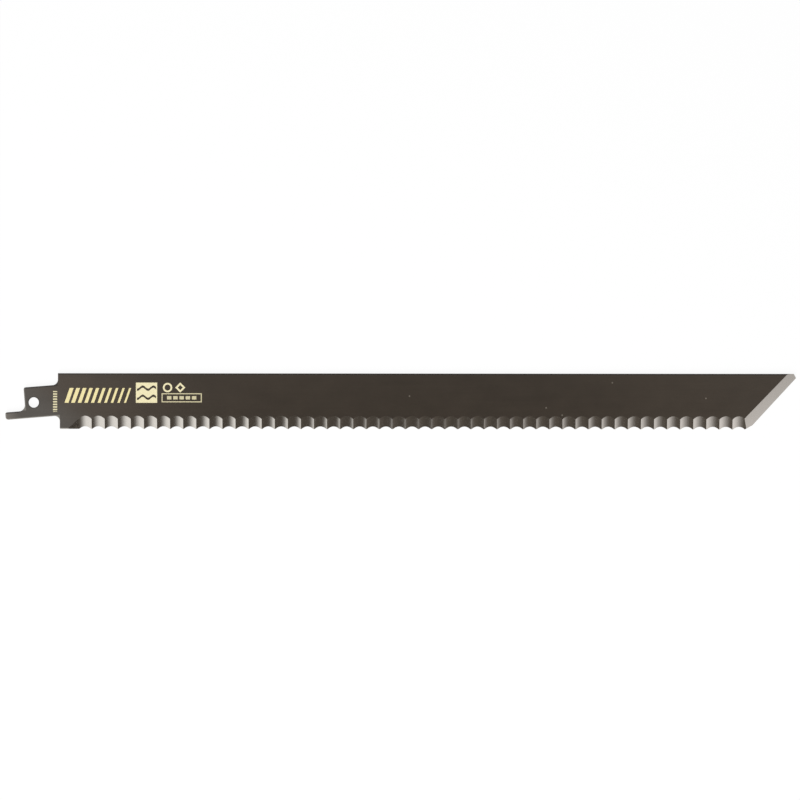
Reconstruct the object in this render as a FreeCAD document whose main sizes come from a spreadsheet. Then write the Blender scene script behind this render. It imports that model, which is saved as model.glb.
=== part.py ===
# Reciprocating saw blade with a wave-ground edge: one flat steel blank, ground sharp from one face only.
# Frame: origin on the axis of the shank hole in the back face, +X to the tip, +Y to the spine,
# +Z out of the ground face. Millimetres and degrees.
import FreeCAD, Part
import Sketcher
import math
import os

NODE = "blade"

# Driving sizes: name, value, what it is
SIZES = (
    ("overall_length", 305.0, "tang end to tip"),
    ("thickness", 1.25, "steel strip"),
    ("blade_width", 21.44, "spine to points"),
    ("spine_height", 11.29, "hole centre to spine"),
    ("hole_diameter", 4.0, "hole for the clamp's pin"),
    ("shank_angle", 4.6, "shank against the spine"),
    ("shank_above", 6.08, "hole centre to the shank's upper edge"),
    ("shank_below", 5.86, "hole centre to the shank's lower edge"),
    ("shank_back", 3.5, "hole centre to the rear shoulder"),
    ("tang_height", 2.87, "tang, edge to edge"),
    ("tang_reach", 11.3, "hole centre to the tang's end"),
    ("upper_shoulder", 9.3, "hole centre to the shoulder under the spine"),
    ("lower_shoulder", 10.05, "hole centre to the heel's shoulder"),
    ("tang_low_round", 1.1, "tang's end, lower corner"),
    ("tang_high_round", 0.7, "tang's end, upper corner"),
    ("tang_root_radius", 2.4, "tang to rear shoulder"),
    ("shank_round", 0.8, "shank's rear corner"),
    ("upper_root_radius", 2.15, "shank to upper shoulder"),
    ("lower_root_radius", 2.0, "shank to heel's shoulder"),
    ("heel_round", 0.4, "heel's corner"),
    ("wall_share", 0.49, "most of a wall that the rounding at one of its ends may take"),
    ("tip_angle", 47.3, "oblique tip against the spine"),
    ("tip_blunt_rise", 1.62, "blunt facet at the spine's end, height"),
    ("tip_blunt_run", 0.93, "blunt facet at the spine's end, length"),
    ("nose_rise", 1.64, "facet between the last point and the tip, height"),
    ("nose_run", 2.96, "facet between the last point and the tip, length"),
    ("face_rounding", 0.35, "rounded rim of the face"),
    ("back_break", 0.1, "broken rim of the back"),
    ("grind_angle", 17.1, "ground surfaces against the back"),
    ("grind_height", 5.04, "points to the top of a groove on the face"),
    ("wheel_radius", 9.0, "rim of the wheel that grinds a groove"),
    ("flank_angle", 15.0, "straight flank that runs the wave out towards the heel, against the wheel's rim"),
    ("wheel_clearance", 3.0, "how far a straight cut stands above the face"),
    ("wheel_width", 8.0, "how far the tip's straight cut reaches out from its line"),
    ("groove_pitch", 5.045, "point to point"),
    ("last_point_past", 0.25, "end of the edge to where the last point would be"),
    ("heel_land", 7.0, "heel's shoulder to the first point, at least"),
    ("bevel_start", 2.3, "spine's end to the tip bevel's line on the face"),
    ("bevel_line_angle", 46.0, "the tip bevel's line against the spine"),
)

# Corners of the blank's outline in order; the edge named after a corner runs from it to the next
CORNERS = (
    "tang_low",
    "lower_root",
    "heel",
    "edge_end",
    "nose",
    "tip",
    "spine_end",
    "spine_start",
    "upper_root",
    "shank_rear",
    "tang_root",
    "tang_high",
)
SHANK_LOWER = CORNERS.index("tang_low")
HEEL_SHOULDER = CORNERS.index("lower_root")
CUTTING_EDGE = CORNERS.index("heel")
NOSE_FACET = CORNERS.index("edge_end")
TIP_EDGE = CORNERS.index("nose")
BLUNT_FACET = CORNERS.index("tip")
SPINE = CORNERS.index("spine_end")
SPINE_SHOULDER = CORNERS.index("spine_start")
SHANK_UPPER = CORNERS.index("upper_root")
REAR_SHOULDER = CORNERS.index("shank_rear")
TANG_UPPER = CORNERS.index("tang_root")
TANG_END = CORNERS.index("tang_high")

# Corners that are rounded in plan, each with its radius as an expression
ROUNDED_CORNERS = (
    ("tang_low", "sizes.tang_low_round"),
    ("tang_high", "sizes.tang_high_round"),
    ("tang_root", "sizes.tang_root_radius"),
    ("shank_rear", "sizes.shank_round"),
    ("upper_root", "min(sizes.upper_root_radius; sizes.wall_share * outline.Constraints.upper_wall / 1 mm)"),
    ("lower_root", "min(sizes.lower_root_radius; sizes.wall_share * outline.Constraints.lower_wall / 1 mm)"),
    ("heel", "min(sizes.heel_round; sizes.wall_share * outline.Constraints.lower_wall / 1 mm)"),
)

# Edges that grinding makes sharp, so their rim on the back stays unbroken
SHARP_EDGES = (CUTTING_EDGE, NOSE_FACET, TIP_EDGE, BLUNT_FACET)

# Places in a sketch: its origin, and the points of a line or circle
ORIGIN = (-1, 1)
START = 1
END = 2
CENTRE = 3

NEAR = 1e-4

# Where the wave ends at the tip, as an expression
LAST_POINT_X = "outline.Constraints.edge_end_x / 1 mm + sizes.last_point_past"


def make_sheet(document):
    sheet = document.addObject("Spreadsheet::Sheet", "sizes")
    for row, (name, value, note) in enumerate(SIZES, start=1):
        sheet.set(f"A{row}", name)
        sheet.set(f"B{row}", str(value))
        sheet.set(f"C{row}", note)
        sheet.setAlias(f"B{row}", name)
    document.recompute()
    return sheet


def new_sketch(body, name, role):
    """A sketch on one of the body's origin planes."""
    sketch = body.newObject("Sketcher::SketchObject", name)
    plane = next(f for f in body.Origin.OriginFeatures if f.Role == role)
    sketch.AttachmentSupport = [(plane, "")]
    sketch.MapMode = "FlatFace"
    return sketch


def bind(sketch, name, expression, kind, *places):
    """Adds one named dimension to a sketch, tied to the sheet by its expression."""
    value = sketch.evalExpression(expression)
    if kind == "Angle":
        value = math.radians(value.Value)
    number = sketch.addConstraint(Sketcher.Constraint(kind, *places, float(value)))
    sketch.renameConstraint(number, name)
    sketch.setExpression(f"Constraints.{name}", expression)


def measure(sketch, name, axis, start, end):
    """Adds one named dimension that only reads how far apart two points of a sketch lie along an axis."""
    length = getattr(sketch.getPoint(*end) - sketch.getPoint(*start), axis.lower())
    number = sketch.addConstraint(Sketcher.Constraint(f"Distance{axis}", *start, *end, length))
    sketch.setDriving(number, False)
    sketch.renameConstraint(number, name)


def draw_loop(sketch, points):
    """Draws a closed run of lines; line N starts at point N."""
    for number, point in enumerate(points):
        following = points[(number + 1) % len(points)]
        line = Part.LineSegment(FreeCAD.Vector(*point, 0), FreeCAD.Vector(*following, 0))
        sketch.addGeometry(line, False)
    for number in range(len(points)):
        following = (number + 1) % len(points)
        sketch.addConstraint(Sketcher.Constraint("Coincident", number, END, following, START))


def first_corners(sheet):
    """Rough places of the outline's corners, near enough for the sketch's own dimensions to take over."""
    cant = math.radians(sheet.shank_angle)
    edge_y = sheet.spine_height - sheet.blade_width
    tang_upper = sheet.tang_height - sheet.shank_below
    tip_x = sheet.overall_length - sheet.tang_reach
    tip_y = sheet.spine_height - sheet.tip_blunt_rise
    nose_y = edge_y + sheet.nose_rise
    nose_x = tip_x - (tip_y - nose_y) / math.tan(math.radians(sheet.tip_angle))

    def on_shank(along, across):
        x = along * math.cos(cant) - across * math.sin(cant)
        y = along * math.sin(cant) + across * math.cos(cant)
        return (x, y)

    def at_shoulder(x, across):
        return (x, across / math.cos(cant) + x * math.tan(cant))

    places = {
        "tang_low": on_shank(-sheet.tang_reach, -sheet.shank_below),
        "lower_root": at_shoulder(sheet.lower_shoulder, -sheet.shank_below),
        "heel": (sheet.lower_shoulder, edge_y),
        "edge_end": (nose_x - sheet.nose_run, edge_y),
        "nose": (nose_x, nose_y),
        "tip": (tip_x, tip_y),
        "spine_end": (tip_x - sheet.tip_blunt_run, sheet.spine_height),
        "spine_start": (sheet.upper_shoulder, sheet.spine_height),
        "upper_root": at_shoulder(sheet.upper_shoulder, sheet.shank_above),
        "shank_rear": on_shank(-sheet.shank_back, sheet.shank_above),
        "tang_root": on_shank(-sheet.shank_back, tang_upper),
        "tang_high": on_shank(-sheet.tang_reach, tang_upper),
    }
    return [places[name] for name in CORNERS]


def draw_outline(body, sheet):
    """The blank's outline: canted shank with its tang, heel, long edge, oblique tip and spine."""
    sketch = new_sketch(body, "outline", "XY_Plane")
    draw_loop(sketch, first_corners(sheet))
    for edge in (HEEL_SHOULDER, SPINE_SHOULDER):
        sketch.addConstraint(Sketcher.Constraint("Vertical", edge))
    for edge in (CUTTING_EDGE, SPINE):
        sketch.addConstraint(Sketcher.Constraint("Horizontal", edge))
    for edge in (SHANK_UPPER, TANG_UPPER):
        sketch.addConstraint(Sketcher.Constraint("Parallel", SHANK_LOWER, edge))
    for edge in (REAR_SHOULDER, TANG_END):
        sketch.addConstraint(Sketcher.Constraint("Perpendicular", SHANK_LOWER, edge))

    # Shank and tang, all measured from the hole
    bind(sketch, "shank_angle", "sizes.shank_angle * 1 deg", "Angle", SHANK_LOWER)
    bind(sketch, "shank_below", "sizes.shank_below", "Distance", *ORIGIN, SHANK_LOWER)
    bind(sketch, "shank_above", "sizes.shank_above", "Distance", *ORIGIN, SHANK_UPPER)
    bind(sketch, "shank_back", "sizes.shank_back", "Distance", *ORIGIN, REAR_SHOULDER)
    bind(sketch, "tang_reach", "sizes.tang_reach", "Distance", *ORIGIN, TANG_END)
    tang_upper = "sizes.shank_below - sizes.tang_height"
    bind(sketch, "tang_upper", tang_upper, "Distance", *ORIGIN, TANG_UPPER)

    # Body of the blade
    bind(sketch, "upper_shoulder", "sizes.upper_shoulder", "DistanceX", *ORIGIN, SPINE, END)
    bind(sketch, "lower_shoulder", "sizes.lower_shoulder", "DistanceX", *ORIGIN, CUTTING_EDGE, START)
    bind(sketch, "spine_height", "sizes.spine_height", "DistanceY", *ORIGIN, SPINE, START)
    bind(sketch, "blade_width", "sizes.blade_width", "DistanceY", CUTTING_EDGE, START, SPINE, END)

    # The tang's rounded end is the rearmost point, and the tip lies the overall length ahead of it
    tip_x = (
        "sizes.overall_length - sizes.tang_high_round"
        " - (sizes.tang_reach - sizes.tang_high_round) * cos(sizes.shank_angle * 1 deg)"
        " + (sizes.shank_below - sizes.tang_height + sizes.tang_high_round) * sin(sizes.shank_angle * 1 deg)"
    )
    bind(sketch, "tip_x", tip_x, "DistanceX", *ORIGIN, BLUNT_FACET, START)
    bind(sketch, "tip_angle", "sizes.tip_angle * 1 deg", "Angle", TIP_EDGE)
    bind(sketch, "blunt_rise", "sizes.tip_blunt_rise", "DistanceY", BLUNT_FACET, START, BLUNT_FACET, END)
    bind(sketch, "blunt_run", "sizes.tip_blunt_run", "DistanceX", BLUNT_FACET, END, BLUNT_FACET, START)
    bind(sketch, "nose_rise", "sizes.nose_rise", "DistanceY", NOSE_FACET, START, NOSE_FACET, END)
    bind(sketch, "nose_run", "sizes.nose_run", "DistanceX", NOSE_FACET, START, NOSE_FACET, END)

    # Lengths that later features depend on
    measure(sketch, "edge_end_x", "X", ORIGIN, (NOSE_FACET, START))
    measure(sketch, "upper_wall", "Y", (SPINE_SHOULDER, END), (SPINE_SHOULDER, START))
    measure(sketch, "lower_wall", "Y", (HEEL_SHOULDER, END), (HEEL_SHOULDER, START))
    return sketch


def pad_blank(body, outline):
    blank = body.newObject("PartDesign::Pad", "blank")
    blank.Profile = outline
    blank.setExpression("Length", "sizes.thickness")


def cut_through(body, name, sketch):
    """Cuts the sketch's profile through the whole blade, both ways from its plane."""
    pocket = body.newObject("PartDesign::Pocket", name)
    pocket.Profile = sketch
    pocket.Type = "ThroughAll"
    pocket.SideType = "Symmetric"
    return pocket


def cut_hole(body, sheet):
    sketch = new_sketch(body, "hole_circle", "XY_Plane")
    radius = sheet.hole_diameter / 2
    sketch.addGeometry(Part.Circle(FreeCAD.Vector(), FreeCAD.Vector(0, 0, 1), radius), False)
    sketch.addConstraint(Sketcher.Constraint("Coincident", 0, CENTRE, *ORIGIN))
    bind(sketch, "diameter", "sizes.hole_diameter", "Diameter", 0)
    return cut_through(body, "shank_hole", sketch)


def upright_edge(shape, corner):
    """Name of the edge that stands on a corner of the outline."""
    for number, edge in enumerate(shape.Edges, start=1):
        ends = [v.Point for v in edge.Vertexes]
        if all(math.hypot(p.x - corner.x, p.y - corner.y) < NEAR for p in ends):
            return f"Edge{number}"
    raise ValueError(f"no edge stands at {corner}")


def rim_edges(shape, height, kept_plain=()):
    """Names of the blank's outer edges at one height, apart from those on the lines kept plain."""
    face = next(f for f in shape.Faces if abs(f.BoundBox.ZMin - height) < NEAR and f.BoundBox.ZLength < NEAR)
    names = []
    for edge in face.OuterWire.Edges:
        middle = edge.valueAt((edge.FirstParameter + edge.LastParameter) / 2)
        if any(line.distToShape(Part.Vertex(middle.x, middle.y, 0))[0] < NEAR for line in kept_plain):
            continue
        number = next(n for n, e in enumerate(shape.Edges, start=1) if e.isSame(edge))
        names.append(f"Edge{number}")
    return names


def round_corners(document, body, outline, base):
    """Rounds the corners that were punched with a radius, one feature for each."""
    corners = {name: outline.Geometry[number].StartPoint for number, name in enumerate(CORNERS)}
    for name, radius in ROUNDED_CORNERS:
        document.recompute()
        fillet = body.newObject("PartDesign::Fillet", f"{name}_round")
        fillet.Base = (base, [upright_edge(base.Shape, corners[name])])
        fillet.setExpression("Radius", radius)
        base = fillet
    document.recompute()
    return base


def dress_rims(document, body, sheet, outline, base):
    """The face has the soft rim that punching leaves, and the back a lightly broken one."""
    rounding = body.newObject("PartDesign::Fillet", "face_rim")
    rounding.Base = (base, rim_edges(base.Shape, sheet.thickness))
    rounding.setExpression("Radius", "min(sizes.face_rounding; sizes.wall_share * sizes.thickness)")
    document.recompute()
    sharp = [outline.Geometry[edge].toShape() for edge in SHARP_EDGES]
    chamfer = body.newObject("PartDesign::Chamfer", "back_rim")
    chamfer.Base = (rounding, rim_edges(rounding.Shape, 0, sharp))
    chamfer.setExpression("Size", "min(sizes.back_break; sizes.wall_share * sizes.thickness)")
    document.recompute()


def stand_across_edge(sketch, sheet):
    """Stands a sketch square to the grooves, its horizontal axis along their tops on the face."""
    tilt = FreeCAD.Rotation(FreeCAD.Vector(1, 0, 0), sheet.grind_angle)
    sketch.AttachmentOffset = FreeCAD.Placement(FreeCAD.Vector(), tilt)
    sketch.setExpression("AttachmentOffset.Base.y", "sizes.thickness")
    tops = "sizes.blade_width - sizes.spine_height - sizes.grind_height"
    sketch.setExpression("AttachmentOffset.Base.z", tops)
    sketch.setExpression("AttachmentOffset.Rotation.Angle", "sizes.grind_angle * 1 deg")


def grind_grooves(document, body, sheet):
    """Grinds the wave: one hollow groove that ends at the last point, repeated towards the heel."""
    sketch = new_sketch(body, "wheel_rim", "XZ_Plane")
    stand_across_edge(sketch, sheet)
    middle = f"{LAST_POINT_X} - sizes.groove_pitch / 2"
    centre = FreeCAD.Vector(float(sketch.evalExpression(middle)), sheet.wheel_radius, 0)
    sketch.addGeometry(Part.Circle(centre, FreeCAD.Vector(0, 0, 1), sheet.wheel_radius), False)
    bind(sketch, "middle_x", middle, "DistanceX", *ORIGIN, 0, CENTRE)
    bind(sketch, "middle_y", "sizes.wheel_radius", "DistanceY", *ORIGIN, 0, CENTRE)
    bind(sketch, "radius", "sizes.wheel_radius", "Radius", 0)
    groove = cut_through(body, "groove", sketch)
    document.recompute()

    wave = body.newObject("PartDesign::LinearPattern", "wave")
    wave.Originals = [groove]
    wave.Direction = (sketch, ["H_Axis"])
    wave.Reversed = True
    wave.Mode = "Spacing"
    wave.setExpression("Offset", "sizes.groove_pitch")
    room = f"{LAST_POINT_X} - sizes.lower_shoulder - sizes.heel_land"
    wave.setExpression("Occurrences", f"floor(({room}) / sizes.groove_pitch)")
    body.Tip = wave
    document.recompute()


def first_point_x():
    """Where the wave starts at the heel, as an expression."""
    return f"({LAST_POINT_X} - wave.Occurrences * sizes.groove_pitch)"


def grind_run_out(document, body, sheet):
    """Runs the wave out towards the heel: beyond the first point the wheel leaves a straight flank."""
    sketch = new_sketch(body, "wheel_flank", "XZ_Plane")
    stand_across_edge(sketch, sheet)
    first_x = float(sketch.evalExpression(first_point_x()))
    flank = math.radians(sheet.flank_angle)
    slope = (-math.cos(flank), math.sin(flank))
    top = sheet.wheel_clearance
    foot = (first_x, 0)
    draw_loop(sketch, [foot, (first_x + slope[0] * top / slope[1], top), (first_x, top)])
    sketch.addConstraint(Sketcher.Constraint("Horizontal", 1))
    sketch.addConstraint(Sketcher.Constraint("Vertical", 2))
    bind(sketch, "first_point_x", first_point_x(), "DistanceX", *ORIGIN, 0, START)
    ridge = "sizes.wheel_radius - sqrt(pow(sizes.wheel_radius; 2) - pow(sizes.groove_pitch / 2; 2))"
    bind(sketch, "ridge_height", ridge, "DistanceY", *ORIGIN, 0, START)
    bind(sketch, "clearance", "sizes.wheel_clearance", "DistanceY", 0, START, 0, END)
    bind(sketch, "flank_angle", "180 deg - sizes.flank_angle * 1 deg", "Angle", 0)
    cut_through(body, "run_out", sketch)
    document.recompute()


def grind_tip(document, body, sheet):
    """Grinds the oblique tip: one flat bevel whose line on the face starts just short of the spine's end."""
    sketch = new_sketch(body, "tip_wheel", "XZ_Plane")
    slant = FreeCAD.Rotation(FreeCAD.Vector(0, 1, 0), sheet.bevel_line_angle - 90)
    sketch.AttachmentOffset = FreeCAD.Placement(FreeCAD.Vector(), slant)
    line_x = "outline.Constraints.tip_x / 1 mm - sizes.tip_blunt_run - sizes.bevel_start"
    sketch.setExpression("AttachmentOffset.Base.x", line_x)
    sketch.setExpression("AttachmentOffset.Base.y", "sizes.thickness")
    sketch.setExpression("AttachmentOffset.Base.z", "-sizes.spine_height")
    turn = "sizes.bevel_line_angle * 1 deg - 90 deg"
    sketch.setExpression("AttachmentOffset.Rotation.Angle", turn)
    width = sheet.wheel_width
    top = sheet.wheel_clearance
    drop = width * math.tan(math.radians(sheet.grind_angle))
    draw_loop(sketch, [(0, 0), (width, -drop), (width, top), (0, top)])
    sketch.addConstraint(Sketcher.Constraint("Coincident", 0, START, *ORIGIN))
    sketch.addConstraint(Sketcher.Constraint("Vertical", 1))
    sketch.addConstraint(Sketcher.Constraint("Horizontal", 2))
    sketch.addConstraint(Sketcher.Constraint("Vertical", 3))
    bind(sketch, "grind_angle", "-sizes.grind_angle * 1 deg", "Angle", 0)
    bind(sketch, "wheel_width", "sizes.wheel_width", "DistanceX", 0, START, 0, END)
    bind(sketch, "clearance", "sizes.wheel_clearance", "DistanceY", 0, START, 2, END)
    cut_through(body, "tip_bevel", sketch)
    document.recompute()


def check(document, body):
    """Stops before anything is written if a feature failed or the solid isn't one closed piece."""
    failed = [o.Name for o in document.Objects if {"Invalid", "Error"} & set(o.State)]
    if failed:
        raise RuntimeError(f"failed features: {', '.join(failed)}")
    if body.Shape.isNull() or not body.Shape.isValid() or len(body.Shape.Solids) != 1:
        raise RuntimeError(f"{body.Label} isn't one valid solid")


def main():
    document = FreeCAD.newDocument(NODE)
    sheet = make_sheet(document)
    body = document.addObject("PartDesign::Body", NODE)
    body.Label = NODE
    outline = draw_outline(body, sheet)
    pad_blank(body, outline)
    hole = cut_hole(body, sheet)
    rounded = round_corners(document, body, outline, hole)
    dress_rims(document, body, sheet, outline, rounded)
    grind_grooves(document, body, sheet)
    grind_run_out(document, body, sheet)
    grind_tip(document, body, sheet)
    check(document, body)
    os.makedirs("parts", exist_ok=True)
    body.Shape.exportStep(f"parts/{body.Label}.step")
    print(f"{body.Label}: {len(body.Shape.Faces)} faces, {body.Shape.Volume:.1f} mm3")


main()
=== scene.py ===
import math

import bmesh
import bpy
from mathutils import Matrix, Vector


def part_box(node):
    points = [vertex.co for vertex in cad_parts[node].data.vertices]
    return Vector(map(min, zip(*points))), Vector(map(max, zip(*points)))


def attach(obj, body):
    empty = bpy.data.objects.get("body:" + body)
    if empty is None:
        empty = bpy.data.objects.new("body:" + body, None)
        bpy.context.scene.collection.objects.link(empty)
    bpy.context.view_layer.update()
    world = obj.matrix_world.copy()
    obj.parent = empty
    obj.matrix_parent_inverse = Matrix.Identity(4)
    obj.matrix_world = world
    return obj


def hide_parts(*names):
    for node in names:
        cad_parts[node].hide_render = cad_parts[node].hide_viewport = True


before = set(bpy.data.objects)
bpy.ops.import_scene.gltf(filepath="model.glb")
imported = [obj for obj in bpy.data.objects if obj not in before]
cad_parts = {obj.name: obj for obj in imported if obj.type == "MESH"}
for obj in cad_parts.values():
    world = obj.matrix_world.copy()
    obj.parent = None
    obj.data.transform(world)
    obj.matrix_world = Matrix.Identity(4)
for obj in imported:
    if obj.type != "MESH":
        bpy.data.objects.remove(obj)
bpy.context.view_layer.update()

MM = 0.001
NEAR = 1e-6

cad_low, cad_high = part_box("blade")
THICKNESS = cad_high.z
SPINE_Y = cad_high.y
EDGE_Y = cad_low.y

# Shank and tang, measured from the hole along and across the shank
SHANK_ANGLE = math.radians(4.6)
SHANK_ABOVE = 6.08 * MM
SHANK_BELOW = 5.86 * MM
SHANK_BACK = 3.5 * MM
TANG_HEIGHT = 2.87 * MM
TANG_REACH = 11.3 * MM
HOLE_RADIUS = 2.0 * MM
HOLE_SEGMENTS = 96
PUNCH_LENGTH = 4 * THICKNESS

# Shoulders, tip and nose, measured from the hole or the tip
UPPER_SHOULDER_X = 9.3 * MM
HEEL_X = 10.05 * MM
TIP_ANGLE = math.radians(47.3)
TIP_BLUNT_RISE = 1.62 * MM
TIP_BLUNT_RUN = 0.93 * MM
NOSE_RISE = 1.64 * MM
NOSE_RUN = 2.96 * MM

# Radii of the corners that were punched round
CORNER_RADII = {
    "tang_low": 1.1 * MM,
    "tang_high": 0.7 * MM,
    "tang_root": 2.4 * MM,
    "shank_rear": 0.8 * MM,
    "upper_root": 2.15 * MM,
    "lower_root": 2.0 * MM,
    "heel": 0.4 * MM,
}
CORNER_SEGMENTS = 12

# Rims
FACE_ROUNDING = 0.35 * MM
FACE_ROUNDING_SEGMENTS = 10
BACK_BREAK = 0.1 * MM

# Grinding
GRIND_ANGLE = math.radians(17.1)
GRIND_HEIGHT = 5.04 * MM
WHEEL_RADIUS = 9.0 * MM
GROOVE_PITCH = 5.045 * MM
GROOVE_SEGMENTS = 24
FLANK_ANGLE = math.radians(15)
LAST_POINT_PAST = 0.25 * MM
HEEL_LAND = 7.0 * MM
BEVEL_START = 2.3 * MM
BEVEL_LINE_ANGLE = math.radians(46)
WHEEL_CLEARANCE = 3.0 * MM
WHEEL_REACH = 12.0 * MM
CREASE_ANGLE = math.radians(14)

# Where the wave runs out towards the heel
RUN_OUT_X = 17.2 * MM

# Order of the finishes on the blade
COATED, GROUND = 0, 1


def across_shank(along, across):
    """A point of the canted shank."""
    cant = Matrix.Rotation(SHANK_ANGLE, 2)
    return cant @ Vector((along, across))


def at_shoulder(x, across):
    """Where an edge of the shank meets an upright shoulder."""
    return Vector((x, across / math.cos(SHANK_ANGLE) + x * math.tan(SHANK_ANGLE)))


def blank_corners():
    """The outline's corners, anticlockwise from the tang's lower corner."""
    tang_upper = TANG_HEIGHT - SHANK_BELOW
    tip = Vector((cad_high.x, SPINE_Y - TIP_BLUNT_RISE))
    nose_y = EDGE_Y + NOSE_RISE
    nose = Vector((tip.x - (tip.y - nose_y) / math.tan(TIP_ANGLE), nose_y))
    return {
        "tang_low": across_shank(-TANG_REACH, -SHANK_BELOW),
        "lower_root": at_shoulder(HEEL_X, -SHANK_BELOW),
        "heel": Vector((HEEL_X, EDGE_Y)),
        "edge_end": Vector((nose.x - NOSE_RUN, EDGE_Y)),
        "nose": nose,
        "tip": tip,
        "spine_end": Vector((tip.x - TIP_BLUNT_RUN, SPINE_Y)),
        "spine_start": Vector((UPPER_SHOULDER_X, SPINE_Y)),
        "upper_root": at_shoulder(UPPER_SHOULDER_X, SHANK_ABOVE),
        "shank_rear": across_shank(-SHANK_BACK, SHANK_ABOVE),
        "tang_root": across_shank(-SHANK_BACK, tang_upper),
        "tang_high": across_shank(-TANG_REACH, tang_upper),
    }


def extrude_face(mesh, face, offset):
    """Pulls a lone face out into a closed solid."""
    pulled = bmesh.ops.extrude_face_region(mesh, geom=[face])["geom"]
    moved = [v for v in pulled if isinstance(v, bmesh.types.BMVert)]
    bmesh.ops.translate(mesh, vec=offset, verts=moved)
    bmesh.ops.recalc_face_normals(mesh, faces=mesh.faces)


def bevel_edges(mesh, edges, offset, segments):
    bmesh.ops.bevel(
        mesh, geom=edges, offset=offset, offset_type="OFFSET", affect="EDGES",
        segments=segments, profile=0.5, material=-1,
    )


def round_corner(mesh, corners, name, radius):
    """Rounds the upright edge that stands on a corner of the outline."""
    names = list(corners)
    place = names.index(name)
    corner = corners[name]
    arriving = corner - corners[names[place - 1]]
    leaving = corners[names[(place + 1) % len(names)]] - corner
    setback = radius * math.tan(arriving.angle(leaving) / 2)
    upright = [e for e in mesh.edges if all((v.co.xy - corner).length < NEAR for v in e.verts)]
    bevel_edges(mesh, upright, setback, CORNER_SEGMENTS)


def punch_blank(corners):
    """The flat blank, with its punched corners and its soft rims."""
    mesh = bmesh.new()
    outline = mesh.faces.new([mesh.verts.new(corner.to_3d()) for corner in corners.values()])
    extrude_face(mesh, outline, Vector((0, 0, THICKNESS)))
    for name, radius in CORNER_RADII.items():
        round_corner(mesh, corners, name, radius)

    def rim(height):
        return [e for e in mesh.edges if all(abs(v.co.z - height) < NEAR for v in e.verts)]

    def left_by_grinding(edge):
        middle = (edge.verts[0].co + edge.verts[1].co) / 2
        return middle.x > corners["edge_end"].x or middle.y < EDGE_Y + NEAR

    bevel_edges(mesh, rim(THICKNESS), FACE_ROUNDING, FACE_ROUNDING_SEGMENTS)
    bevel_edges(mesh, [e for e in rim(0) if not left_by_grinding(e)], BACK_BREAK, 1)
    return mesh


def set_on_grind(mesh, turn, place):
    """Tilts a cutter made level to the grinding angle, then turns it and sets it down on the face."""
    tilt = Matrix.Rotation(GRIND_ANGLE, 4, "X")
    matrix = Matrix.Translation(place) @ Matrix.Rotation(turn, 4, "Z") @ tilt
    bmesh.ops.transform(mesh, matrix=matrix, verts=mesh.verts)


def wave_wheel(corners):
    """The form of the wheel that grinds the wave: a straight flank at the heel, then hollow after hollow."""
    last_x = corners["edge_end"].x + LAST_POINT_PAST
    count = math.floor((last_x - HEEL_X - HEEL_LAND) / GROOVE_PITCH)
    first_x = last_x - count * GROOVE_PITCH
    half_turn = math.asin(GROOVE_PITCH / 2 / WHEEL_RADIUS)
    ridge = WHEEL_RADIUS * (1 - math.cos(half_turn))
    flank_run = (WHEEL_CLEARANCE - ridge) / math.tan(FLANK_ANGLE)
    last_turn = math.acos(1 - WHEEL_CLEARANCE / WHEEL_RADIUS) - half_turn

    mesh = bmesh.new()
    mesh.verts.new((first_x - flank_run, WHEEL_CLEARANCE, WHEEL_CLEARANCE))
    point = mesh.verts.new((first_x, WHEEL_CLEARANCE, ridge))

    def sweep(start, centre_x, angle):
        swept = bmesh.ops.spin(
            mesh, geom=[start], cent=(centre_x, 0, WHEEL_RADIUS), axis=(0, -1, 0),
            angle=angle, steps=GROOVE_SEGMENTS, use_duplicate=False,
        )
        return next(v for v in swept["geom_last"] if isinstance(v, bmesh.types.BMVert))

    for number in range(count):
        centre_x = first_x + (number + 0.5) * GROOVE_PITCH
        point = sweep(point, centre_x, 2 * half_turn)
    sweep(point, centre_x, last_turn)

    profile = mesh.faces.new(mesh.verts[:])
    extrude_face(mesh, profile, Vector((0, -WHEEL_CLEARANCE - WHEEL_REACH, 0)))
    set_on_grind(mesh, 0, Vector((0, EDGE_Y + GRIND_HEIGHT, THICKNESS)))
    return mesh


def tip_wheel(corners):
    """The straight wheel that grinds the oblique tip, from its line on the face outwards."""
    length = cad_high.length
    mesh = bmesh.new()
    bmesh.ops.create_cube(mesh, size=1)
    bmesh.ops.translate(mesh, vec=(0, -0.5, 0.5), verts=mesh.verts)
    bmesh.ops.scale(mesh, vec=(length, WHEEL_REACH, WHEEL_CLEARANCE), verts=mesh.verts)
    start = corners["spine_end"] - Vector((BEVEL_START, 0))
    set_on_grind(mesh, BEVEL_LINE_ANGLE, Vector((start.x, start.y, THICKNESS)))
    return mesh


def pin_punch():
    mesh = bmesh.new()
    bmesh.ops.create_cone(
        mesh, cap_ends=True, segments=HOLE_SEGMENTS, radius1=HOLE_RADIUS, radius2=HOLE_RADIUS,
        depth=PUNCH_LENGTH,
    )
    return mesh


def finish_mesh(mesh, name, finishes, index=COATED):
    """Turns a bmesh into an object whose faces all have one of the finishes."""
    for face in mesh.faces:
        face.material_index = index
    data = bpy.data.meshes.new(name)
    mesh.to_mesh(data)
    mesh.free()
    for finish in finishes:
        data.materials.append(finish)
    made = bpy.data.objects.new(name, data)
    bpy.context.scene.collection.objects.link(made)
    return made


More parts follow.
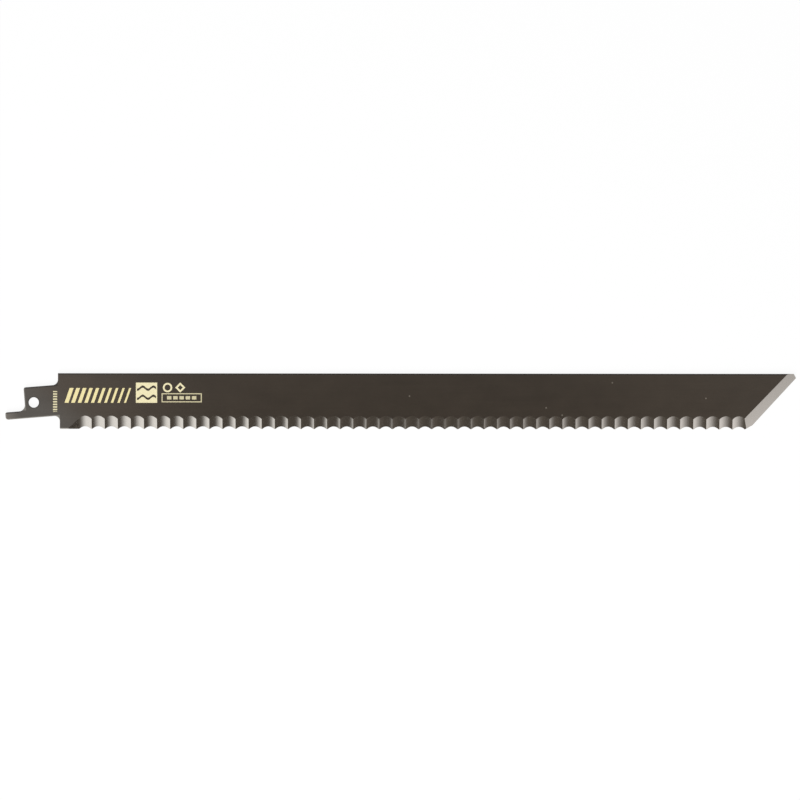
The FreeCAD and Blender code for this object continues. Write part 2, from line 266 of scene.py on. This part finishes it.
def make_blade(finishes):
    """The blade: its blank, cut by the pin punch and by the two grinding wheels."""
    corners = blank_corners()
    blade = finish_mesh(punch_blank(corners), "dressed_blade", finishes)
    cutters = [
        finish_mesh(pin_punch(), "pin_punch", finishes),
        finish_mesh(wave_wheel(corners), "wave_wheel", finishes, GROUND),
        finish_mesh(tip_wheel(corners), "tip_wheel", finishes, GROUND),
    ]
    for cutter in cutters:
        cut = blade.modifiers.new(cutter.name, "BOOLEAN")
        cut.operation = "DIFFERENCE"
        cut.solver = "EXACT"
        cut.object = cutter
    graph = bpy.context.evaluated_depsgraph_get()
    blade.data = bpy.data.meshes.new_from_object(blade.evaluated_get(graph))
    blade.modifiers.clear()
    for cutter in cutters:
        bpy.data.objects.remove(cutter)

    level = 1 - NEAR
    for face in blade.data.polygons:
        face.use_smooth = abs(face.normal.z) < level
    blade.data.set_sharp_from_angle(angle=CREASE_ANGLE)
    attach(blade, "root")
    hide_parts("blade")
    return blade


class Number:
    """A number that varies over a surface. Sums, products and comparisons of it add Math nodes."""

    def __init__(self, nodes, socket):
        self.nodes = nodes
        self.socket = socket

    def maths(self, operation, *values):
        return self.nodes.node("ShaderNodeMath", {"operation": operation}, dict(enumerate(values)))

    def __add__(self, other):
        return self.maths("ADD", self, other)

    def __sub__(self, other):
        return self.maths("SUBTRACT", self, other)

    def __rsub__(self, other):
        return self.maths("SUBTRACT", other, self)

    def __mul__(self, other):
        return self.maths("MULTIPLY", self, other)

    def __neg__(self):
        return self.maths("MULTIPLY", self, -1)

    def __gt__(self, other):
        return self.maths("GREATER_THAN", self, other)

    def __lt__(self, other):
        return self.maths("LESS_THAN", self, other)

    def __abs__(self):
        return self.maths("ABSOLUTE", self)

    def __mod__(self, other):
        return self.maths("FLOORED_MODULO", self, other)

    def __or__(self, other):
        return self.maths("MAXIMUM", self, other)

    __radd__ = __add__
    __rmul__ = __mul__

    def sine(self):
        return self.maths("SINE", self)

    def between(self, low, high):
        return (self > low) * (self < high)

    def rise(self, low, high):
        """0 at the first value and before it, 1 at the second and past it, and smooth between them."""
        return self.nodes.node(
            "ShaderNodeMapRange", {"interpolation_type": "SMOOTHSTEP"}, {0: self, 1: low, 2: high}
        )


class Nodes:
    """A node tree while it is being put together."""

    def __init__(self, tree):
        self.tree = tree

    def node(self, kind, settings=None, inputs=None, output=0):
        """Adds a node: its settings first, then its sockets' values or links. Gives one of its outputs."""
        made = self.tree.nodes.new(kind)
        for name, value in (settings or {}).items():
            setattr(made, name, value)
        for name, value in (inputs or {}).items():
            self.fill(made.inputs[name], value)
        return Number(self, made.outputs[output]) if made.outputs else None

    def fill(self, socket, value):
        """Links a socket to a number, or sets its own value."""
        if isinstance(value, Number):
            self.tree.links.new(value.socket, socket)
        else:
            socket.default_value = value

    def shown(self):
        """1 where the camera looks straight at a surface or sees it in gloss or glass."""
        straight, gloss, glass = (
            self.node("ShaderNodeLightPath", output=ray)
            for ray in ("Is Camera Ray", "Is Glossy Ray", "Is Transmission Ray")
        )
        return straight | gloss | glass


class Finish(Nodes):
    """A material while it is being put together, with the place on the object in millimetres."""

    def __init__(self, name):
        self.material = bpy.data.materials.new(name)
        self.material.use_nodes = True
        super().__init__(self.material.node_tree)
        self.shader = self.tree.nodes["Principled BSDF"]
        place = self.node("ShaderNodeTexCoord", output="Object")
        self.place = self.shade(place, 1 / MM)
        self.x, self.y, self.z = (
            self.node("ShaderNodeSeparateXYZ", inputs={0: self.place}, output=axis) for axis in "XYZ"
        )

    def grain(self, lengths, detail=2.0):
        """Noise around 0.5, with grains of these lengths in millimetres along x, y and z."""
        scale = tuple(1 / length for length in lengths)
        place = self.node("ShaderNodeMapping", inputs={"Vector": self.place, "Scale": scale})
        return self.node("ShaderNodeTexNoise", inputs={"Vector": place, "Scale": 1.0, "Detail": detail})

    def blend(self, mask, under, over):
        """One colour over another where the mask says."""
        return self.node("ShaderNodeMix", {"data_type": "RGBA"}, {0: mask, 6: under, 7: over}, output=2)

    def shade(self, colour, factor):
        """A colour or a place times a number."""
        inputs = {"Vector": colour, "Scale": factor}
        return self.node("ShaderNodeVectorMath", {"operation": "SCALE"}, inputs)

    def relief(self, height, depth):
        """Bump of this depth in millimetres."""
        return self.node("ShaderNodeBump", inputs={"Distance": depth * MM, "Height": height})

    def apply(self, sockets):
        """Sets or links the shader's own sockets, and gives the material."""
        for name, value in sockets.items():
            self.fill(self.shader.inputs[name], value)
        return self.material


# Colours
COATING_COLOUR = (0.043, 0.0325, 0.023, 1)
# Greyer, lighter coat at the shank: painted light and sheen from the left end
SHANK_LIGHT_AND_SHEEN_COLOUR = (0.056, 0.050, 0.043, 1)
# Painted highlight on the lower rims and rear ends
RIM_HIGHLIGHT_COLOUR = (0.17, 0.16, 0.14, 1)
PRINT_COLOUR = (0.76, 0.665, 0.34, 1)
PALE_PRINT_COLOUR = (0.76, 0.69, 0.43, 1)
SPECK_COLOUR = (0.155, 0.135, 0.11, 1)
STEEL_COLOUR = (0.575, 0.56, 0.53)

# Coat, rims, steel and print: lengths are in millimetres, and places are measured from the hole

# Coat: its grains, and fades that run from their first place to their second. The fades are painted light
# and shade: lighter and greyer at the shank, lighter towards the tip and darkest past the print; the tang's
# end is partly worn and partly painted light.
MOTTLE_GRAIN = (9, 6, 6)
MOTTLE_DEPTH = 0.28
ROLLED_GRAIN = (40, 0.6, 0.6)
ROLLED_DEPTH = 0.16
FADE_SKEW = 1.2
SHANK_LIGHT_AND_SHEEN_FADE = (-3, 22)
WORN_AND_LIT_FADE = (-5, -11)
PAINTED_SHADE_FADE = (12, 65)
PAINTED_SHADE_DEPTH = 0.23
PAINTED_LIGHT_FADE = (200, 250)
PAINTED_LIGHT_DEPTH = 0.15
COAT_GRAIN = (1.2, 1.2, 1.2)
COAT_ROUGHNESS = 0.36
COAT_ROUGHNESS_RANGE = 0.12
FINE_GRAIN = (0.3, 0.3, 0.3)
FINE_RELIEF = 0.01

# Small light specks in the coat
SPECKS = ((144.9, 2.6), (197.6, -1.9), (203.8, -4.7), (223.1, 7.8), (259.2, 1.8))
SPECK_RADIUS = 0.28

# Rims, with painted shade on the upper rims and round the hole and painted highlight on the lower rims and
# rear ends: how far from an edge a strip begins and is full, and where along or across the shank it ends
SHADE_RIM = (0.68, 0.43)
SHADE_RIM_DEPTH = 0.5
SHADE_TANG_ALONG = -5.5
HOLE_SHADE_RIM = 0.4
HOLE_SHADE_COVER = 0.6
# Painted highlight on the lower rims and rear ends, which face the lamp
HIGHLIGHT_RIM = (0.55, 0.12)
HIGHLIGHT_TANG_END = (0.7, 0.2)
HIGHLIGHT_REAR_ACROSS = -2.8
HIGHLIGHT_COVER = 0.8

# Ground steel
WHEEL_LINES = (0.12, 5, 5)
STEEL_SHADE = 0.9
STEEL_SHADE_RANGE = 0.2
STEEL_ROUGHNESS = 0.14
STEEL_ROUGHNESS_RANGE = 0.08
RUN_OUT_GRAIN = (0.9, 0.9, 0.9)
RUN_OUT_CONTRAST = 1.6
RUN_OUT_LOSS = 0.62

# Print, with boxes as left, bottom, width and height
INK_GRAIN = (0.5, 0.5, 0.5)
INK_COVER = 0.8
INK_COVER_RANGE = 0.3

STRIPES_START = 11.9
STRIPES_LENGTH = 24.1
STRIPES_FOOT = -0.1
STRIPES_TOP = 5.6
STRIPE_PITCH = 2.55
STRIPE_WIDTH = 1.6
STRIPE_THINNING = 0.035
STRIPE_LEAN = 0.35

BADGE_BOX = (39.4, -0.1, 8.2, 7.8)
BADGE_LINE = 0.4
WAVE_FEET = (1.6, 5.1)
WAVE_LINE = 0.9
WAVE_LIFT = 0.6
WAVE_LENGTH = 4.1

SHAPES_Y = 5.8
RING_X = 51.6
RING_OUTER = 1.8
RING_INNER = 1.15
DIAMOND_X = 56.5
DIAMOND_OUTER = 1.95
DIAMOND_INNER = 1.0

DASH_FRAME = (49.3, 0.1, 15.5, 3.5)
DASH_FRAME_LINE = 0.38
DASHES = (51.4, 1.2, 11.3, 1.3)
DASH_PITCH = 2.4
DASH_LENGTH = 1.7
DASH_COVER = 0.74

BARS = (7.45, -3.6, 1.6, 8.0)
BAR_PITCH = 1.0
BAR_HEIGHT = 0.56
BAR_COVER = 0.85


def box(finish, left, bottom, width, height):
    """Mask of a plain box on the face."""
    return finish.x.between(left, left + width) * finish.y.between(bottom, bottom + height)


def outlined_box(finish, left, bottom, width, height, line):
    """Mask of a box's outline, drawn inwards."""
    inner = box(finish, left + line, bottom + line, width - 2 * line, height - 2 * line)
    return box(finish, left, bottom, width, height) * (1 - inner)


def disc(finish, x, y, radius):
    """Mask of a round spot."""
    across, up = finish.x - x, finish.y - y
    return across * across + up * up < radius * radius


def stripe_mark(finish):
    """Wide mark: slanted stripes that get thinner towards the tip."""
    along = finish.x - finish.y * STRIPE_LEAN - STRIPES_START
    stripes = along % STRIPE_PITCH < STRIPE_WIDTH - along * STRIPE_THINNING
    return stripes * along.between(0, STRIPES_LENGTH) * finish.y.between(STRIPES_FOOT, STRIPES_TOP)


def wave_badge(finish):
    """Square badge: a framed field with two dark waves across it."""
    swell = finish.y - (finish.x * (2 * math.pi / WAVE_LENGTH)).sine() * WAVE_LIFT
    lower, upper = (swell.between(foot, foot + WAVE_LINE) for foot in WAVE_FEET)
    field = box(finish, *BADGE_BOX) * (1 - (lower | upper))
    return outlined_box(finish, *BADGE_BOX, BADGE_LINE) | field


def small_shapes(finish):
    """Two plain shapes side by side: a ring and a hollow diamond."""
    ring = disc(finish, RING_X, SHAPES_Y, RING_OUTER) * (1 - disc(finish, RING_X, SHAPES_Y, RING_INNER))
    steps = abs(finish.x - DIAMOND_X) + abs(finish.y - SHAPES_Y)
    return ring | steps.between(DIAMOND_INNER, DIAMOND_OUTER)


def dash_box(finish):
    """Outlined box with a row of dashes in it."""
    dashes = box(finish, *DASHES) * ((finish.x - DASHES[0]) % DASH_PITCH < DASH_LENGTH)
    return (outlined_box(finish, *DASH_FRAME, DASH_FRAME_LINE) | dashes) * DASH_COVER


def bar_column(finish):
    """Narrow column of short bars beside the shoulder."""
    return box(finish, *BARS) * (finish.y % BAR_PITCH < BAR_HEIGHT) * BAR_COVER


def shank_place(finish):
    """How far along and how far across the canted shank a point of the face lies."""
    along = finish.x * math.cos(SHANK_ANGLE) + finish.y * math.sin(SHANK_ANGLE)
    across = finish.y * math.cos(SHANK_ANGLE) - finish.x * math.sin(SHANK_ANGLE)
    return along, across


def strip(place, edge, rim):
    """Mask of the strip inside an edge, which begins and is full at a rim's two distances from it."""
    begins, full = rim
    return place.rise(edge / MM - begins, edge / MM - full)


def painted_shade_rims(finish):
    """Mask of painted shade on the upper rims of spine, shank and tang, which face away from the light, and
    round the hole's rim, where the coat is darker.
    """
    along, across = shank_place(finish)
    spine = strip(finish.y, SPINE_Y, SHADE_RIM)
    shank = strip(across, SHANK_ABOVE, SHADE_RIM) * (finish.x < UPPER_SHOULDER_X / MM)
    tang = strip(across, TANG_HEIGHT - SHANK_BELOW, SHADE_RIM) * (along < SHADE_TANG_ALONG)
    hole = disc(finish, 0, 0, HOLE_RADIUS / MM + HOLE_SHADE_RIM) * HOLE_SHADE_COVER
    return spine | shank | tang | hole


def painted_highlight_rims(finish):
    """Mask of painted highlight on the lower rims of tang, shank and heel, and on the rear ends, which face
    the lamp.
    """
    along, across = shank_place(finish)
    below = strip(-across, SHANK_BELOW, HIGHLIGHT_RIM)
    behind = strip(-along, SHANK_BACK, HIGHLIGHT_RIM) * (across > HIGHLIGHT_REAR_ACROSS)
    tang_end = strip(-along, TANG_REACH, HIGHLIGHT_TANG_END)
    heel = strip(-finish.y, -EDGE_Y, HIGHLIGHT_RIM)
    past_heel = finish.x > HEEL_X / MM
    return (below | behind | tang_end) * (1 - past_heel) | heel * past_heel


def coat_colour(finish):
    """Dark brown-black, with painted light and sheen that make it greyer at the shank and lighter towards
    the tip, painted shade that makes it darkest past the print, a tang end that is partly worn and partly
    painted light, painted shade and highlight on its rims, and its specks.
    """
    from_heel = finish.x + finish.y * FADE_SKEW
    mottle = (finish.grain(MOTTLE_GRAIN, 3.0) - 0.5) * MOTTLE_DEPTH
    rolled = (finish.grain(ROLLED_GRAIN, 3.0) - 0.5) * ROLLED_DEPTH
    # Lighter at the tang's end: partly worn coat, partly painted light from the left
    worn_and_lit_end = finish.x.rise(*WORN_AND_LIT_FADE)
    # Painted light towards the tip, and painted shade that darkens the coat past the print
    painted_light_drift = finish.x.rise(*PAINTED_LIGHT_FADE) * PAINTED_LIGHT_DEPTH - from_heel.rise(*PAINTED_SHADE_FADE) * PAINTED_SHADE_DEPTH
    tone = 1 + mottle + rolled + worn_and_lit_end + painted_light_drift
    # Greyer and lighter towards the shank: painted light and sheen
    coat = finish.blend(from_heel.rise(*SHANK_LIGHT_AND_SHEEN_FADE), SHANK_LIGHT_AND_SHEEN_COLOUR, COATING_COLOUR)
    # Painted shade on the upper rims and round the hole
    coat = finish.shade(coat, tone * (1 - painted_shade_rims(finish) * SHADE_RIM_DEPTH))
    # Painted highlight on the lower rims and the rear ends
    coat = finish.blend(painted_highlight_rims(finish) * HIGHLIGHT_COVER, coat, RIM_HIGHLIGHT_COLOUR)
    for x, y in SPECKS:
        coat = finish.blend(disc(finish, x, y, SPECK_RADIUS) * (finish.z > 0), coat, SPECK_COLOUR)
    return coat


def print_over(finish, coat):
    """The pale print on the coat, on the face alone."""
    stripes = stripe_mark(finish)
    pale_marks = wave_badge(finish) | small_shapes(finish) | dash_box(finish) | bar_column(finish)
    marks = (stripes | pale_marks) * (finish.z > THICKNESS / MM / 2)
    cover = INK_COVER + finish.grain(INK_GRAIN) * INK_COVER_RANGE
    ink = finish.blend(stripes, PALE_PRINT_COLOUR, PRINT_COLOUR)
    return finish.blend(marks * cover, coat, ink)


def coated_steel():
    """Steel under the dark coat, with the pale print on it."""
    finish = Finish("coated_steel")
    return finish.apply({
        "Base Color": print_over(finish, coat_colour(finish)),
        "Roughness": COAT_ROUGHNESS + finish.grain(COAT_GRAIN) * COAT_ROUGHNESS_RANGE,
        "Normal": finish.relief(finish.grain(FINE_GRAIN, 4.0), FINE_RELIEF),
    })


def ground_steel():
    """Bare steel as the wheel leaves it, with fine lines square to the edge, darker and mottled where it
    runs out.
    """
    finish = Finish("ground_steel")
    lines = finish.grain(WHEEL_LINES, 3.0)
    # Darker and mottled where the wave runs out towards the heel
    run_out_mottle = finish.grain(RUN_OUT_GRAIN, 3.0) * RUN_OUT_CONTRAST - RUN_OUT_LOSS
    shade = (STEEL_SHADE + lines * STEEL_SHADE_RANGE) * (1 - run_out_mottle * (finish.x < RUN_OUT_X / MM))
    return finish.apply({
        "Base Color": finish.shade(STEEL_COLOUR, shade),
        "Metallic": 1.0,
        "Roughness": STEEL_ROUGHNESS + lines * STEEL_ROUGHNESS_RANGE,
        "Normal": finish.relief(lines, FINE_RELIEF),
    })


# Studio: the photograph looks straight down, and black card overhead darkens what the steel reflects
VIEW_WIDTH = 308.48 * MM
VIEW_CENTRE = (141.24 * MM, 1.08 * MM)
CAMERA_DISTANCE = 2000 * MM
CAMERA_TURN = math.radians(0.055)
FLOOR_GAP = 0.05 * MM
FLOOR_SIZE = 6.0
FLOOR_COLOUR = (0.93, 0.93, 0.93, 1)
FLOOR_ROUGHNESS = 0.9
FLOOR_SHADE = 0.07
WORLD_LEVEL = 0.5
LAMP_LEVEL = 0.62
LAMP_SIZE = 0.8
LAMP_FROM_CENTRE = (-0.35, -0.9, 0.6)
CARD_HEIGHT = 130 * MM
CARD_LOW = (-0.6, -0.35)
CARD_HIGH = (0.9, 1.2)
CARD_DARK = (0.098, 0.083, 0.069)
CARD_LEFT = (1.2, 1.17, 1.14, 1)
CARD_RIGHT = (1.085, 1.04, 1.02, 1)

# Fades of the card, in millimetres: they run from their first place to their second
GREY_FADE = (140, 200)
GREY_LIFT = 0.3
LEFT_FADE = (-32, 60)
LEFT_FADE_SKEW = 0.19
RIGHT_FADE = (213, 362)
FRONT_FADE = (-110, -20)
FRONT_LOSS = 0.6
BEHIND_FADE = (35, 90)


def plane(name, low, high, height, material):
    """A level rectangle between two corners."""
    mesh = bmesh.new()
    corners = ((low[0], low[1]), (high[0], low[1]), (high[0], high[1]), (low[0], high[1]))
    mesh.faces.new([mesh.verts.new((x, y, height)) for x, y in corners])
    made = finish_mesh(mesh, name, [material])
    return made


def floor_paper():
    """White paper that shows as white, with a part of its own shading left for the shadow."""
    finish = Finish("floor_paper")
    finish.apply({"Base Color": FLOOR_COLOUR, "Roughness": FLOOR_ROUGHNESS, "Specular IOR Level": 0.0})
    glow = finish.node("ShaderNodeEmission", inputs={"Color": (1, 1, 1, 1), "Strength": 1.0})
    shaded = Number(finish, finish.shader.outputs[0])
    share = finish.shown() * (1 - FLOOR_SHADE)
    mixed = finish.node("ShaderNodeMixShader", inputs={0: share, 1: shaded, 2: glow})
    finish.fill(finish.tree.nodes["Material Output"].inputs["Surface"], mixed)
    return finish.material


def card_paint():
    """Black card, a little greyer on the right, that fades to white at both ends and behind."""
    finish = Finish("card_paint")
    dark = finish.shade(CARD_DARK, 1 + finish.x.rise(*GREY_FADE) * GREY_LIFT)
    left = 1 - (finish.x + finish.y * LEFT_FADE_SKEW).rise(*LEFT_FADE)
    right = finish.x.rise(*RIGHT_FADE) * (1 - finish.y.rise(*FRONT_FADE) * FRONT_LOSS)
    behind = finish.y.rise(*BEHIND_FADE)
    paint = finish.blend(right | behind, finish.blend(left, dark, CARD_LEFT), CARD_RIGHT)
    return finish.apply({
        "Base Color": (0, 0, 0, 1),
        "Specular IOR Level": 0.0,
        "Emission Color": paint,
        "Emission Strength": 1.0,
    })


def hang_card():
    """Card over the blade that only shows in gloss."""
    card = plane("reflection_card", CARD_LOW, CARD_HIGH, CARD_HEIGHT, card_paint())
    card.visible_camera = False
    card.visible_diffuse = False
    card.visible_shadow = False


def light_world():
    world = bpy.data.worlds.new("studio")
    bpy.context.scene.world = world
    world.use_nodes = True
    world.cycles.sampling_method = "NONE"
    nodes = Nodes(world.node_tree)
    level = WORLD_LEVEL + (1 - WORLD_LEVEL) * nodes.shown()
    background = nodes.tree.nodes["Background"]
    nodes.fill(background.inputs["Color"], (1, 1, 1, 1))
    nodes.fill(background.inputs["Strength"], level)


def hang_lamp():
    """Broad soft lamp in front and a little to the left, left out of the gloss.

    Its power follows from its level at the blade, its distance and its slant.
    """
    data = bpy.data.lights.new("soft_lamp", "AREA")
    data.size = LAMP_SIZE
    reach = Vector(LAMP_FROM_CENTRE)
    data.energy = LAMP_LEVEL * 4 * math.pi * reach.length ** 3 / reach.z
    lamp = bpy.data.objects.new("soft_lamp", data)
    lamp.location = Vector((*VIEW_CENTRE, 0)) + reach
    lamp.rotation_euler = reach.to_track_quat("Z", "Y").to_euler()
    lamp.visible_glossy = False
    lamp.visible_camera = False
    bpy.context.scene.collection.objects.link(lamp)


def set_camera():
    data = bpy.data.cameras.new("camera")
    data.lens = data.sensor_width * CAMERA_DISTANCE / VIEW_WIDTH
    camera = bpy.data.objects.new("camera", data)
    camera.location = (*VIEW_CENTRE, THICKNESS + CAMERA_DISTANCE)
    camera.rotation_euler.z = CAMERA_TURN
    bpy.context.scene.collection.objects.link(camera)
    bpy.context.scene.camera = camera


make_blade([coated_steel(), ground_steel()])
half = FLOOR_SIZE / 2
plane("floor", (-half, -half), (half, half), -FLOOR_GAP, floor_paper())
hang_card()
light_world()
hang_lamp()
set_camera()
bpy.context.scene.view_settings.view_transform = "Standard"
